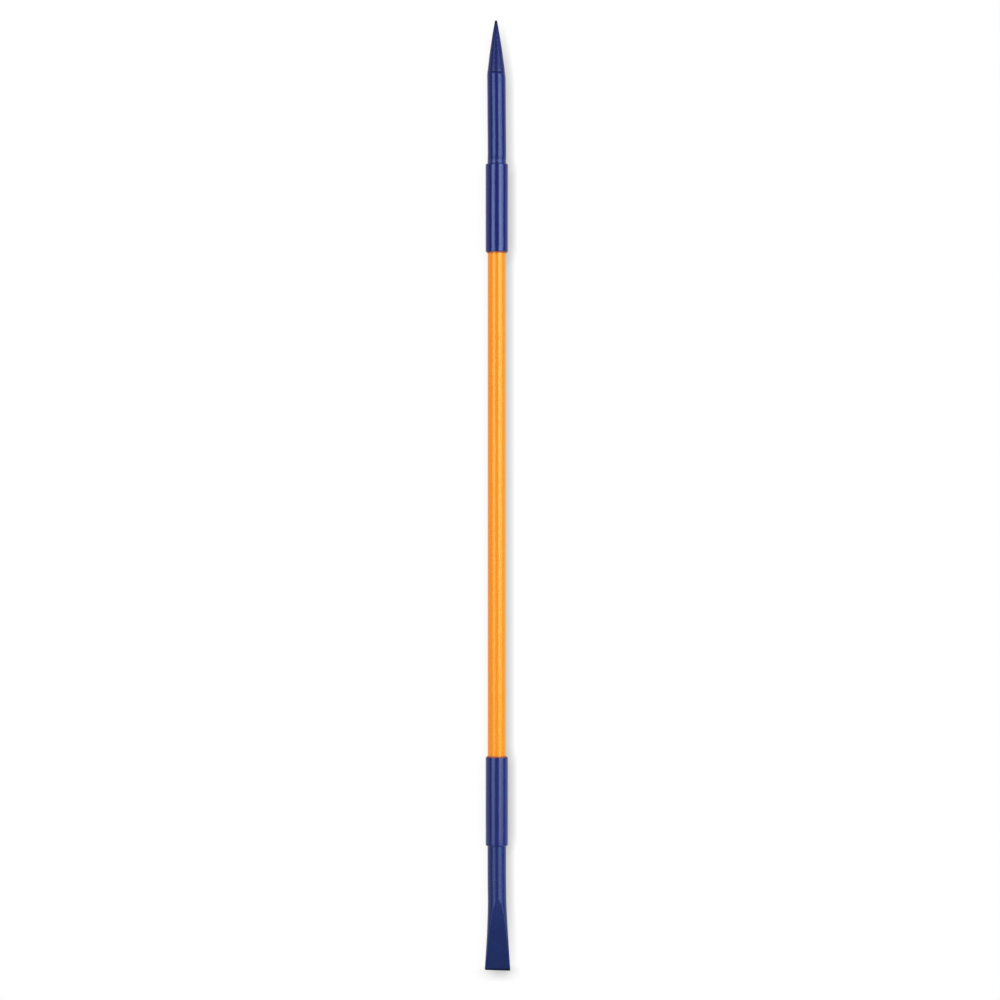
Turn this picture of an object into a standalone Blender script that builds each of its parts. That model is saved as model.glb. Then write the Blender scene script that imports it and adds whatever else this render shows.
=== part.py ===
"""Long crowbar with a round point at one end, a flared chisel at the other and an insulated rod between.

The bar lies along Y on its two steel sleeves, which touch the floor plane z = 0. The point looks along +Y and
the chisel along -Y, with its blade wide along X. Every length is in metres.

Each end of the bar is built in a frame of its own. Its origin is on the bar's centre line, where the shank
enters the sleeve, and its +Y looks outwards, so a depth into the sleeve is a negative y.
"""

import math

import bmesh
import bpy

MM = 0.001

# Driving dimensions
OVERALL_LENGTH = 1524.0 * MM
POINT_REACH = 229.6 * MM  # from the tip to the sleeve
CHISEL_REACH = 199.7 * MM  # from the edge to the sleeve
SLEEVE_LENGTH = 141.3 * MM
SHANK_DIAMETER = 30.0 * MM
BLADE_LENGTH = 110.8 * MM  # from the start of the flat to the edge
BLADE_WIDTH = 41.4 * MM  # at the edge

# Clearances
SEAT_GAP = 0.3 * MM  # between two pieces that touch
SHEATH_CLEARANCE = 0.55 * MM  # between the sheath and the sleeve's bore, on the radius

# Sleeves
SLEEVE_WALL = 2.8 * MM
SLEEVE_SHOULDER = 2.2 * MM  # radius of the rounded outer end
SHANK_SOCKET = 50.0 * MM  # how far a shank goes into its sleeve

# Insulated rod
SHEATH_WALL = 2.45 * MM
SHEATH_TUCK = 12.0 * MM  # how far the sheath goes into a sleeve
BOND_DISC = 4.0 * MM  # adhesive between the rod's end and the shank
BEAD_LENGTH = 1.5 * MM
BEAD_HEIGHT = 1.5 * MM  # at the sleeve's mouth
BEAD_CREST = 0.5 * MM  # length of the bead's full part
BEAD_CREST_HEIGHT = 1.35 * MM  # where the full part ends
BEAD_LIP = 0.4 * MM  # height of the bead's thin edge

# Cross pins
SHANK_PIN_DIAMETER = 8.0 * MM
SHANK_PIN_INSET = 25.0 * MM  # from the sleeve's outer end
CORE_PIN_DIAMETER = 6.0 * MM
CORE_PIN_INSET = 55.0 * MM  # from the sleeve's mouth
PIN_SETBACK = 0.2 * MM  # below the sleeve's surface

# Point
CONE_LENGTH = 79.5 * MM
CONE_STEP = 1.35 * MM  # how far the cone's base lies below the shank
CONE_SWELL = 0.27  # share of the cone's growth that is curved
TIP_DIAMETER = 4.0 * MM
TIP_FLAT_DIAMETER = 2.4 * MM
TIP_ROUNDING = 1.0 * MM  # length of the rounded tip
LEDGE_LENGTH = 1.5 * MM
LEDGE_RISE = 0.45 * MM
RUN_OUT_LENGTH = 13.0 * MM  # from the ledge to the full shank
RUN_OUT_POWER = 1.6

# Chisel
BLEND_LENGTH = 46.0 * MM  # hollow part of the flat, before the plane wedge
WEDGE_HALF_ANGLE = math.radians(5.6)
EDGE_THICKNESS = 4.6 * MM  # where the bevel starts
EDGE_LAND = 1.6 * MM  # thickness of the blunt edge
EDGE_BEVEL = 3.0 * MM  # length of the bevel behind the edge
EDGE_CORNER = 0.8 * MM  # how far the bevel narrows the blade, on each side
FLARE_POWER = 1.3

END_CHAMFER = 1.5 * MM  # at the hidden ends of the shanks and the rod
PIN_CHAMFER = 0.5 * MM

# How finely curves are divided
RING_SIDES = 32
PIN_SIDES = 24
SHOULDER_STEPS = 4
CONE_STEPS = 8
RUN_OUT_STEPS = 4
BLEND_STEPS = 8
WEDGE_STEPS = 5
SHARP_ANGLE = math.radians(25.0)  # edges steeper than this are shaded sharp

# Sizes that follow from those above
SHANK_RADIUS = SHANK_DIAMETER / 2
BORE_RADIUS = SHANK_RADIUS + SEAT_GAP
SLEEVE_RADIUS = BORE_RADIUS + SLEEVE_WALL
SHEATH_RADIUS = BORE_RADIUS - SHEATH_CLEARANCE
SHEATH_BORE_RADIUS = SHEATH_RADIUS - SHEATH_WALL
CORE_RADIUS = SHEATH_BORE_RADIUS - SEAT_GAP
FLAT_SHARE = math.cos(math.pi / RING_SIDES)  # height of a side of a ring over the height of its corner
AXIS_HEIGHT = SLEEVE_RADIUS * FLAT_SHARE
POINT_SLEEVE_Y = OVERALL_LENGTH / 2 - POINT_REACH
CHISEL_SLEEVE_Y = CHISEL_REACH - OVERALL_LENGTH / 2
ROD_MIDDLE_Y = (POINT_SLEEVE_Y + CHISEL_SLEEVE_Y) / 2
HALF_SPAN = (POINT_SLEEVE_Y - CHISEL_SLEEVE_Y) / 2  # from the rod's middle to a sleeve's outer end
BOND_DEPTH = SHANK_SOCKET + SEAT_GAP  # in the sleeve, where the adhesive starts
CORE_DEPTH = BOND_DEPTH + BOND_DISC + SEAT_GAP  # in the sleeve, where the rod's end stops
TUCK_DEPTH = SLEEVE_LENGTH - SHEATH_TUCK  # in the sleeve, where the sheath's end stops

# Colour, metallic and roughness of each material
FINISHES = {
    "blue_paint": ((0.02, 0.03, 0.13, 1.0), 0.0, 0.35),
    "orange_cover": ((0.85, 0.26, 0.02, 1.0), 0.0, 0.3),
    "glass_fibre": ((0.75, 0.68, 0.42, 1.0), 0.0, 0.5),
    "adhesive": ((0.30, 0.12, 0.06, 1.0), 0.0, 0.45),
    "pin_steel": ((0.45, 0.46, 0.48, 1.0), 1.0, 0.35),
}


def clear_scene():
    """Removes whatever the new file starts with."""
    for leftover in list(bpy.data.objects):
        bpy.data.objects.remove(leftover, do_unlink=True)


def make_material(name, finish):
    """A Principled material of the piece's own."""
    colour, metallic, roughness = FINISHES[finish]
    material = bpy.data.materials.new(name)
    material.use_nodes = True
    shader = material.node_tree.nodes["Principled BSDF"]
    shader.inputs["Base Color"].default_value = colour
    shader.inputs["Metallic"].default_value = metallic
    shader.inputs["Roughness"].default_value = roughness
    return material


def finished_mesh(name, bm):
    """Turns a bmesh into a smooth shaded mesh whose faces look out."""
    bmesh.ops.recalc_face_normals(bm, faces=bm.faces)
    mesh = bpy.data.meshes.new(name)
    bm.to_mesh(mesh)
    bm.free()
    mesh.shade_smooth()
    mesh.set_sharp_from_angle(angle=SHARP_ANGLE)
    return mesh


def turned_mesh(name, outline, closed=False, sides=RING_SIDES):
    """Spins an outline of (y, radius) points about Y. A closed one leaves a bore, an open one gets caps."""
    bm = bmesh.new()
    start = math.pi / sides  # half a side, so that one side looks straight down
    corners = []
    for y, radius in outline:
        corners.append(bm.verts.new((radius * math.sin(start), y, -radius * math.cos(start))))
    edges = [bm.edges.new(pair) for pair in zip(corners, corners[1:])]
    if closed:
        edges.append(bm.edges.new((corners[-1], corners[0])))
    bmesh.ops.spin(
        bm,
        geom=corners + edges,
        cent=(0.0, 0.0, 0.0),
        axis=(0.0, 1.0, 0.0),
        angle=2 * math.pi,
        steps=sides,
        use_merge=True,
    )
    if not closed:
        bmesh.ops.holes_fill(bm, edges=[edge for edge in bm.edges if edge.is_boundary])
    return finished_mesh(name, bm)


def lofted_mesh(name, sections):
    """Joins sections with equally many corners, and caps the first and the last."""
    bm = bmesh.new()
    loops = [[bm.verts.new(corner) for corner in section] for section in sections]
    bm.faces.new(loops[0])
    bm.faces.new(loops[-1])
    for near, far in zip(loops, loops[1:]):
        for k, corner in enumerate(near):
            following = (k + 1) % len(near)
            bm.faces.new((corner, near[following], far[following], far[k]))
    return finished_mesh(name, bm)


def place(name, mesh, carrier, y):
    """Puts a mesh in the scene as an object, at y on the centre line of the frame that carries it."""
    placed = bpy.data.objects.new(name, mesh)
    placed.parent = carrier
    placed.location.y = y
    bpy.context.scene.collection.objects.link(placed)
    return placed


def make_piece(name, mesh, carrier, y, finish):
    """One solid sub-part with its own material."""
    piece = place(name, mesh, carrier, y)
    piece.data.materials.append(make_material(name + "_finish", finish))
    return piece


def make_bar_frame():
    """Empty on the bar's centre line, which carries everything."""
    frame = place("bar_frame", None, None, 0.0)
    frame.location.z = AXIS_HEIGHT
    return frame


def make_end_frame(end, bar_frame, sleeve_y, heading):
    """Empty where a shank enters its sleeve, turned so that its +Y looks outwards."""
    frame = place(end + "_frame", None, bar_frame, sleeve_y)
    frame.rotation_euler.z = heading
    return frame


def flattened_section(y, radius, half_width, half_thickness):
    """Corners of a round bar's section, flattened above and below to a thickness and spread to a width."""
    side_angle = math.asin(half_thickness / radius)
    per_side = RING_SIDES // 2
    right, left = [], []
    for k in range(per_side):
        angle = side_angle * (2 * k / (per_side - 1) - 1)
        x = half_width * math.cos(angle)
        z = radius * math.sin(angle)
        right.append((x, y, z))
        left.append((-x, y, -z))
    return right + left


def round_section(y, radius):
    """Corners of a round section, as flattened_section orders them."""
    return flattened_section(y, radius, radius, radius * FLAT_SHARE)


def run_out_outline():
    """Outline from the full shank down to the ledge where the cone's grinding starts."""
    ledge_y = POINT_REACH - CONE_LENGTH - LEDGE_LENGTH
    drop = CONE_STEP - LEDGE_RISE
    outline = []
    for k in range(RUN_OUT_STEPS + 1):
        share = k / RUN_OUT_STEPS
        y = ledge_y - RUN_OUT_LENGTH * (1 - share)
        outline.append((y, SHANK_RADIUS - drop * share**RUN_OUT_POWER))
    return outline


def cone_outline():
    """Outline of the ground cone from its base to the tip's rounding."""
    base_radius = SHANK_RADIUS - CONE_STEP
    growth = base_radius - TIP_DIAMETER / 2
    outline = []
    for k in range(CONE_STEPS + 1):
        share = k / CONE_STEPS
        y = POINT_REACH - CONE_LENGTH + share * (CONE_LENGTH - TIP_ROUNDING)
        fall = (1 - CONE_SWELL) * share + CONE_SWELL * share**2
        outline.append((y, base_radius - growth * fall))
    return outline


def make_point_end(frame):
    """Forged point: hidden shank end, shank, run-out, ledge, cone and blunt tip."""
    hidden = [(-SHANK_SOCKET, SHANK_RADIUS - END_CHAMFER), (END_CHAMFER - SHANK_SOCKET, SHANK_RADIUS)]
    tip = [(POINT_REACH, TIP_FLAT_DIAMETER / 2)]
    outline = hidden + run_out_outline() + cone_outline() + tip
    return make_piece("point_end", turned_mesh("point_end", outline), frame, 0.0, "blue_paint")


def blade_half_thickness(distance):
    """Half thickness of the blade at a distance from the start of its flat."""
    slope = math.tan(WEDGE_HALF_ANGLE)
    wedge = EDGE_THICKNESS / 2 + slope * (BLADE_LENGTH - distance)
    start = EDGE_THICKNESS / 2 + slope * BLADE_LENGTH
    left_in_blend = max(0.0, 1 - distance / BLEND_LENGTH)
    return wedge + (SHANK_RADIUS * FLAT_SHARE - start) * left_in_blend**2


def blade_half_width(distance):
    """Half width of the blade at a distance from the start of its flat."""
    return SHANK_RADIUS + (BLADE_WIDTH / 2 - SHANK_RADIUS) * (distance / BLADE_LENGTH) ** FLARE_POWER


def blade_distances():
    """Distances from the start of the flat at which the blade has a section."""
    hollow = [BLEND_LENGTH * k / BLEND_STEPS for k in range(BLEND_STEPS)]
    wedge_length = BLADE_LENGTH - EDGE_BEVEL - BLEND_LENGTH
    wedge = [BLEND_LENGTH + wedge_length * k / WEDGE_STEPS for k in range(WEDGE_STEPS + 1)]
    return hollow + wedge


def make_chisel_end(frame):
    """Forged chisel: hidden shank end, shank, flared and thinned blade, bevel and blunt edge."""
    sections = [
        round_section(-SHANK_SOCKET, SHANK_RADIUS - END_CHAMFER),
        round_section(END_CHAMFER - SHANK_SOCKET, SHANK_RADIUS),
    ]
    flat_start = CHISEL_REACH - BLADE_LENGTH
    for distance in blade_distances():
        half_width = blade_half_width(distance)
        half_thickness = blade_half_thickness(distance)
        sections.append(flattened_section(flat_start + distance, SHANK_RADIUS, half_width, half_thickness))
    edge_half_width = BLADE_WIDTH / 2 - EDGE_CORNER
    sections.append(flattened_section(CHISEL_REACH, SHANK_RADIUS, edge_half_width, EDGE_LAND / 2))
    return make_piece("chisel_end", lofted_mesh("chisel_end", sections), frame, 0.0, "blue_paint")


def make_sleeve(end, frame):
    """Steel sleeve with a rounded outer end and a square mouth."""
    name = end + "_ferrule"
    outline = [(-SLEEVE_LENGTH, BORE_RADIUS), (-SLEEVE_LENGTH, SLEEVE_RADIUS)]
    for k in range(SHOULDER_STEPS + 1):
        angle = math.pi / 2 * k / SHOULDER_STEPS
        y = SLEEVE_SHOULDER * (math.sin(angle) - 1)
        outline.append((y, SLEEVE_RADIUS - SLEEVE_SHOULDER * (1 - math.cos(angle))))
    outline.append((0.0, BORE_RADIUS))
    return make_piece(name, turned_mesh(name, outline, closed=True), frame, 0.0, "blue_paint")


def make_core(bar_frame):
    """Solid glass fibre rod that carries the bar between the two sleeves."""
    half_length = HALF_SPAN - CORE_DEPTH
    outline = [
        (-half_length, CORE_RADIUS - END_CHAMFER),
        (END_CHAMFER - half_length, CORE_RADIUS),
        (half_length - END_CHAMFER, CORE_RADIUS),
        (half_length, CORE_RADIUS - END_CHAMFER),
    ]
    mesh = turned_mesh("shaft_core", outline)
    return make_piece("shaft_core", mesh, bar_frame, ROD_MIDDLE_Y, "glass_fibre")


def make_sheath(bar_frame):
    """Orange insulating cover, tucked a little way into both sleeves."""
    half_length = HALF_SPAN - TUCK_DEPTH
    outline = [
        (-half_length, SHEATH_BORE_RADIUS),
        (-half_length, SHEATH_RADIUS),
        (half_length, SHEATH_RADIUS),
        (half_length, SHEATH_BORE_RADIUS),
    ]
    mesh = turned_mesh("shaft_sheath", outline, closed=True)
    return make_piece("shaft_sheath", mesh, bar_frame, ROD_MIDDLE_Y, "orange_cover")


def make_bond(end, frame):
    """Cast adhesive cup around and behind the rod's bare end. Its floor is at the object's origin."""
    name = end + "_bond"
    outer_radius = BORE_RADIUS - SEAT_GAP
    inner_radius = CORE_RADIUS + SEAT_GAP
    cup_length = TUCK_DEPTH - SEAT_GAP - BOND_DEPTH
    outline = [
        (0.0, outer_radius),
        (-cup_length, outer_radius),
        (-cup_length, inner_radius),
        (-BOND_DISC, inner_radius),
    ]
    return make_piece(name, turned_mesh(name, outline), frame, -BOND_DEPTH, "adhesive")


def make_bead(end, frame):
    """Wiped bead of adhesive round the sheath. Its origin is on its thick side, at the sleeve's mouth."""
    name = end + "_mouth_bead"
    inner_radius = SHEATH_RADIUS + SEAT_GAP
    outline = [
        (0.0, inner_radius),
        (0.0, inner_radius + BEAD_HEIGHT),
        (-BEAD_CREST, inner_radius + BEAD_CREST_HEIGHT),
        (-BEAD_LENGTH, inner_radius + BEAD_LIP),
        (-BEAD_LENGTH, inner_radius),
    ]
    mesh = turned_mesh(name, outline, closed=True)
    return make_piece(name, mesh, frame, -SLEEVE_LENGTH - SEAT_GAP, "adhesive")


def lay_across(placed):
    """Turns an object so that its own Y lies along X."""
    placed.rotation_euler.z = math.pi / 2


def make_pin(name, frame, depth, diameter):
    """Steel cross pin, just below the sleeve's surface at both ends."""
    radius = diameter / 2
    half_length = math.sqrt(AXIS_HEIGHT**2 - radius**2) - PIN_SETBACK
    outline = [
        (-half_length, radius - PIN_CHAMFER),
        (PIN_CHAMFER - half_length, radius),
        (half_length - PIN_CHAMFER, radius),
        (half_length, radius - PIN_CHAMFER),
    ]
    pin = make_piece(name, turned_mesh(name, outline, sides=PIN_SIDES), frame, -depth, "pin_steel")
    lay_across(pin)


def make_drill(name, frame, depth, diameter):
    """Cutter for a pin's hole, with the seating gap around the pin."""
    reach = 2 * SLEEVE_RADIUS
    radius = diameter / 2 + SEAT_GAP
    mesh = turned_mesh(name, [(-reach, radius), (reach, radius)], sides=PIN_SIDES)
    drill = place(name, mesh, frame, -depth)
    lay_across(drill)
    drill.hide_render = True
    drill.display_type = "WIRE"
    return drill


def fit_pin(name, frame, depth, diameter, drilled):
    """A cross pin at a depth in the sleeve, and its hole in each piece that it goes through."""
    make_pin(name, frame, depth, diameter)
    drill = make_drill(name + "_drill", frame, depth, diameter)
    for piece in drilled:
        hole = piece.modifiers.new(name + "_hole", "BOOLEAN")
        hole.operation = "DIFFERENCE"
        hole.solver = "EXACT"
        hole.object = drill


def main():
    clear_scene()
    bar_frame = make_bar_frame()
    core = make_core(bar_frame)
    make_sheath(bar_frame)
    point_frame = make_end_frame("point", bar_frame, POINT_SLEEVE_Y, 0.0)
    chisel_frame = make_end_frame("chisel", bar_frame, CHISEL_SLEEVE_Y, math.pi)
    ends = {
        "point": (point_frame, make_point_end(point_frame)),
        "chisel": (chisel_frame, make_chisel_end(chisel_frame)),
    }
    for end, (frame, shank) in ends.items():
        sleeve = make_sleeve(end, frame)
        bond = make_bond(end, frame)
        make_bead(end, frame)
        core_pin_depth = SLEEVE_LENGTH - CORE_PIN_INSET
        fit_pin(end + "_shank_pin", frame, SHANK_PIN_INSET, SHANK_PIN_DIAMETER, [sleeve, shank])
        fit_pin(end + "_core_pin", frame, core_pin_depth, CORE_PIN_DIAMETER, [sleeve, bond, core])


main()
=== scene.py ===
"""Looks of a long crowbar: two painted steel ends in painted sleeves, joined by an orange insulated rod.

The bar lies along Y on its two sleeves, with the point towards +Y and the chisel towards -Y. Every length
is in metres. Angles round the bar start at +X and pass the top at a quarter turn.
"""

import math

import bmesh
import bpy
import numpy as np
from mathutils import Matrix, Vector, noise


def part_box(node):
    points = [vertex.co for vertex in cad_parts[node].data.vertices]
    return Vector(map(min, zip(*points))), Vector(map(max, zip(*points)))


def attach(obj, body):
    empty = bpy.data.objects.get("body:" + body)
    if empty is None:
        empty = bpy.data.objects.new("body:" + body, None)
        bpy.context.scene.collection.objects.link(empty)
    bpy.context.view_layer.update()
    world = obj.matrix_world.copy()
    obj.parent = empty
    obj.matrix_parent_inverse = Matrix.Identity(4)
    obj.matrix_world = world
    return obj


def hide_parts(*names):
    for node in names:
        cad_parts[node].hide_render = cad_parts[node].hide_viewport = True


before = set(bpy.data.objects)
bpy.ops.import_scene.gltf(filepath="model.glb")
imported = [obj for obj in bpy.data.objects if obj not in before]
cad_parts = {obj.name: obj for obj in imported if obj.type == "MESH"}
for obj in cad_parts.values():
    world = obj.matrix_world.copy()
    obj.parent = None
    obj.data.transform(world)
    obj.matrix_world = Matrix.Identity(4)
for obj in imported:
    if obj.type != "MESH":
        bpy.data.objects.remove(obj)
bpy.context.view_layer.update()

MM = 0.001


def half_width(node):
    """Half of a node's box along X."""
    low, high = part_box(node)
    return (high.x - low.x) / 2


def inner_radius(node):
    """Least distance of a node's corners from the bar's centre line."""
    corners = [(v.co.x, v.co.z - AXIS_Z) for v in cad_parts[node].data.vertices]
    return min(math.hypot(x, z) for x, z in corners)


# Places and radii that the frame gives
POINT_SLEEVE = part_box("point_ferrule")
CHISEL_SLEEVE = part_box("chisel_ferrule")
AXIS_Z = (POINT_SLEEVE[0].z + POINT_SLEEVE[1].z) / 2
TIP_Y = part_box("point_end")[1].y
POINT_ROOT_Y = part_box("point_end")[0].y
EDGE_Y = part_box("chisel_end")[0].y
CHISEL_ROOT_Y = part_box("chisel_end")[1].y
SHANK_RADIUS = half_width("point_end")
SLEEVE_RADIUS = half_width("point_ferrule")
SHEATH_RADIUS = half_width("shaft_sheath")
SHEATH_BORE = inner_radius("shaft_sheath")
BLADE_HALF_WIDTH = half_width("chisel_end")

# Sleeves
SLEEVE_BORE = SHANK_RADIUS + 0.12 * MM  # the paint fills the rest of the gap in the solids
POINT_SHOULDER = 2.0 * MM
CHISEL_SHOULDER = 2.3 * MM
MOUTH_BREAK = 0.35 * MM  # small radius on the mouth's outer edge
SLEEVE_ROW = 1.0 * MM
SLEEVE_COLUMNS = 160
SLEEVE_FADE = 4.0 * MM  # its waves fade out over this length towards both ends
SHOULDER_POINTS = 9
MOUTH_BREAK_POINTS = 5
CHISEL_END_REACH = 0.6 * MM  # paint carries the chisel's sleeve this much further
POINT_SLEEVE_SLIP = -0.6 * MM  # the point's sleeve sits this far from its nominal place
PIN_DIMPLE_DEPTH = 0.10 * MM
PIN_DIMPLE_RADIUS = 4.5 * MM
PAINT_SAG_Y = 499.5 * MM  # small sag in the paint, on the upper left of the point's sleeve
PAINT_SAG_ANGLE = math.radians(111.5)
PAINT_SAG_RADIUS = 4.0 * MM
PAINT_SAG_HEIGHT = 0.12 * MM

# Shanks
END_CHAMFER = 1.5 * MM
HIDDEN_ROW = 6.0 * MM
SHANK_ROW = 1.8 * MM
PAINT_RIDGE_Y = 537.5 * MM  # thicker paint on the point's shank, just beyond the sleeve
PAINT_RIDGE_ANGLES = (math.radians(68.0), math.radians(108.0))
PAINT_RIDGE_RADIUS = 5.0 * MM
PAINT_RIDGE_HEIGHT = 0.30 * MM

# Point
POINT_COLUMNS = 112
CONE_LENGTH = 80.6 * MM
CONE_STEP = 1.15 * MM  # how far the cone's base lies below the shank
CONE_OFFSET = -0.25 * MM  # of the cone's base towards +X
CONE_SWELL = 0.27  # share of its slope that comes late, which makes it bulge a little
CONE_TAPER = CONE_LENGTH / 4  # its lumps fade out over this length towards the tip
CONE_ROW = 0.75 * MM
TIP_RADIUS = 2.0 * MM
TIP_FLAT_RADIUS = 0.9 * MM
TIP_ROUNDING = 1.7 * MM
TIP_STEPS = 5
TIP_DARK_LENGTH = 14.0 * MM
TIP_DARK_FULL = 3.0 * MM
TIP_DRIFT = -1.75 * MM  # the point leans this far over to its tip
ROOT_SHIFT = 0.45 * MM  # after it has left its sleeve this far to +X
ROOT_SHIFT_LENGTH = 20.0 * MM
LEDGE_LENGTH = 1.6 * MM
LEDGE_BACK = 2.4 * MM  # it lies this much further from the tip on the top than at the sides
LEDGE_ROWS = 21
LEDGE_SHADE_REACH = 2.0 * MM  # from the ledge to where the painted shade in it ends
LEDGE_RISE_TOP = 0.42 * MM
LEDGE_RISE_LEFT = 0.42 * MM
LEDGE_RISE_RIGHT = 0.20 * MM
RUN_OUT_TOP = 2.0 * MM
RUN_OUT_LEFT = 5.0 * MM
RUN_OUT_RIGHT = 12.5 * MM
RUN_OUT_POWER = 1.3
RUN_OUT_ROW = 0.6 * MM

# Chisel
BLADE_COLUMNS = 224
BLADE_LENGTH = 113.0 * MM  # from the start of the flat to the edge
BLADE_ROW = 1.3 * MM
BLEND_LENGTH = 46.0 * MM  # over which the shank passes into the wedge
WEDGE_HALF_ANGLE = math.radians(5.6)
EDGE_THICKNESS = 4.6 * MM  # at the edge, if the wedge had no bevel
EDGE_LAND = 1.6 * MM  # thickness of the blunt edge
EDGE_BEVEL = 3.0 * MM
BEVEL_ROW = 0.25 * MM
BLADE_CORNER_START = 4.0 * MM  # radius between the flat and the sides, where the flat starts
BLADE_CORNER_END = 1.1 * MM
PLAN_CORNER = 1.4 * MM  # radius of the edge's two ends, seen from above
FLARE_POWER = 1.38
SET_OVER = 1.2 * MM  # the blade lies this far towards +X
SET_OVER_START = -55.0 * MM  # before the flat starts
SET_OVER_LENGTH = 125.0 * MM
EDGE_DARK_LENGTH = 30.0 * MM
EDGE_SLANT = 2.0 * MM  # the edge's +X end reaches this much further
EDGE_SLANT_LENGTH = 60.0 * MM
SIDE_POINTS = 60
CORNER_POINTS = 10
FLAT_POINTS = 40

# Sheath and beads
SHEATH_COLUMNS = 128
SHEATH_ROW = 3.0 * MM
BEAD_COLUMNS = 144
BEAD_STEPS = 7
BEAD_CREST = 1.35 * MM  # its height at the sleeve's mouth
BEAD_SMEAR = 0.4 * MM  # glue wiped out over the cover
BEAD_UNEVEN = 0.30 * MM  # height of its ripple
BEAD_WAVE = 5.0 * MM  # length of its ripple
BEAD_FULLNESS = 0.7  # power of its outline, below 1 where it bulges
BEAD_FOOT = SHEATH_RADIUS + 0.05 * MM  # radius where its outline ends on the cover
BEAD_BORE = SHEATH_RADIUS + 0.01 * MM

# Unevenness. Each wave is a wavelength round the bar, one along it, and a height
SHANK_WAVES = (
    (22 * MM, 80 * MM, 0.09 * MM),
    (9 * MM, 22 * MM, 0.014 * MM),
    (4 * MM, 5 * MM, 0.002 * MM),
)
CONE_WAVES = (
    (11 * MM, 16 * MM, 0.12 * MM),
    (5 * MM, 6 * MM, 0.10 * MM),
    (2.4 * MM, 2.4 * MM, 0.05 * MM),
)
BLADE_WAVES = (
    (22 * MM, 70 * MM, 0.09 * MM),
    (9 * MM, 20 * MM, 0.016 * MM),
    (4 * MM, 5 * MM, 0.002 * MM),
)
SLEEVE_WAVES = (
    (24 * MM, 75 * MM, 0.13 * MM),
    (11 * MM, 28 * MM, 0.022 * MM),
    (4 * MM, 5 * MM, 0.005 * MM),
)
SHEATH_WAVES = (
    (26 * MM, 240 * MM, 0.03 * MM),
    (14 * MM, 90 * MM, 0.002 * MM),
)

# Where each piece's noise starts, so that no two look alike
SHANK_SEED = 1.7
CONE_SEED = 4.1
CHISEL_SEED = 7.3
POINT_SLEEVE_SEED = 11.3
CHISEL_SLEEVE_SEED = 14.9
SHEATH_SEED = 19.1
POINT_BEAD_SEED = 2.3
CHISEL_BEAD_SEED = 5.9

# Meshes
LEAST_LENGTH = 1e-12  # keeps a division by zero away
SHARP_ANGLE = math.radians(50.0)  # faces that meet at more than this keep a sharp edge
HUMP_FALL = 2.0  # how fast a hump falls off


def rows_between(start, end, step):
    """Evenly spaced places from start to end, both included."""
    count = max(2, round(abs(end - start) / step) + 1)
    return np.linspace(start, end, count)


def eased(share):
    """A share from 0 to 1, with a soft start and a soft end."""
    return share * share * (3 - 2 * share)


def turned_rings(y, radius, columns):
    """Rings of points round the bar's centre line. The radius is one value a ring, or one a point."""
    angle = 2 * math.pi * np.arange(columns) / columns
    y = np.asarray(y, float)
    radius = np.asarray(radius, float)
    if radius.ndim == 1:
        radius = np.repeat(radius[:, None], columns, axis=1)
    rings = np.empty((len(y), columns, 3))
    rings[:, :, 0] = radius * np.cos(angle)
    rings[:, :, 1] = y[:, None]
    rings[:, :, 2] = AXIS_Z + radius * np.sin(angle)
    return rings


def outward(rings):
    """Unit normals of a grid of rings that runs along Y, facing away from the centre line."""
    along = np.gradient(rings, axis=0)
    around = np.roll(rings, -1, axis=1) - np.roll(rings, 1, axis=1)
    normals = np.cross(along, around)
    length = np.linalg.norm(normals, axis=2, keepdims=True)
    normals /= np.maximum(length, LEAST_LENGTH)
    radial = rings * (1, 0, 1) - (0, 0, AXIS_Z)
    facing = np.sign(np.sum(normals * radial, axis=2, keepdims=True))
    return normals * np.where(facing == 0, 1, facing)


def uneven(rings, waves, seed, amount=1.0):
    """Moves a grid of rings in and out by smooth noise.

    Each wave is a wavelength round the bar, one along it, and a height.
    """
    height = np.zeros(rings.shape[0] * rings.shape[1])
    shift = np.array((seed, 2 * seed, 3 * seed))
    for around, along, size in waves:
        places = rings.reshape(-1, 3) / (around, along, around) + shift
        height += size * np.array([noise.noise(place) for place in places])
    height = height.reshape(rings.shape[:2]) * amount
    return rings + outward(rings) * height[:, :, None]


def hump(rings, y, angle, radius, height):
    """Raises a small smooth spot on a turned surface, or sinks it where the height is negative."""
    row = np.argmin(abs(rings[:, 0, 1] - y))
    size = rings[row, 0, 0]
    spot = np.array((size * math.cos(angle), y, AXIS_Z + size * math.sin(angle)))
    away = np.linalg.norm(rings - spot, axis=2) / radius
    return rings + outward(rings) * (height * np.exp(-HUMP_FALL * away**2))[:, :, None]


def skin(name, rings, looped=False):
    """Mesh object through rings of points. Its ends are capped, or joined to each other if looped."""
    rows, columns = rings.shape[:2]
    bm = bmesh.new()
    verts = [bm.verts.new(point) for point in rings.reshape(-1, 3)]
    loops = [verts[row * columns:(row + 1) * columns] for row in range(rows)]
    pairs = list(zip(loops, loops[1:]))
    if looped:
        pairs.append((loops[-1], loops[0]))
    else:
        bm.faces.new(loops[0])
        bm.faces.new(loops[-1])
    for near, far in pairs:
        for k in range(columns):
            following = (k + 1) % columns
            bm.faces.new((near[k], near[following], far[following], far[k]))
    bmesh.ops.recalc_face_normals(bm, faces=bm.faces)
    mesh = bpy.data.meshes.new(name)
    bm.to_mesh(mesh)
    bm.free()
    mesh.shade_smooth()
    mesh.set_sharp_from_angle(angle=SHARP_ANGLE)
    made = bpy.data.objects.new(name, mesh)
    bpy.context.scene.collection.objects.link(made)
    return made


def dress(piece, material, node):
    """Gives a new piece its material, and puts it in the place of a node of the frame."""
    piece.data.materials.append(material)
    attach(piece, "root")
    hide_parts(node)


# Point

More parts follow.
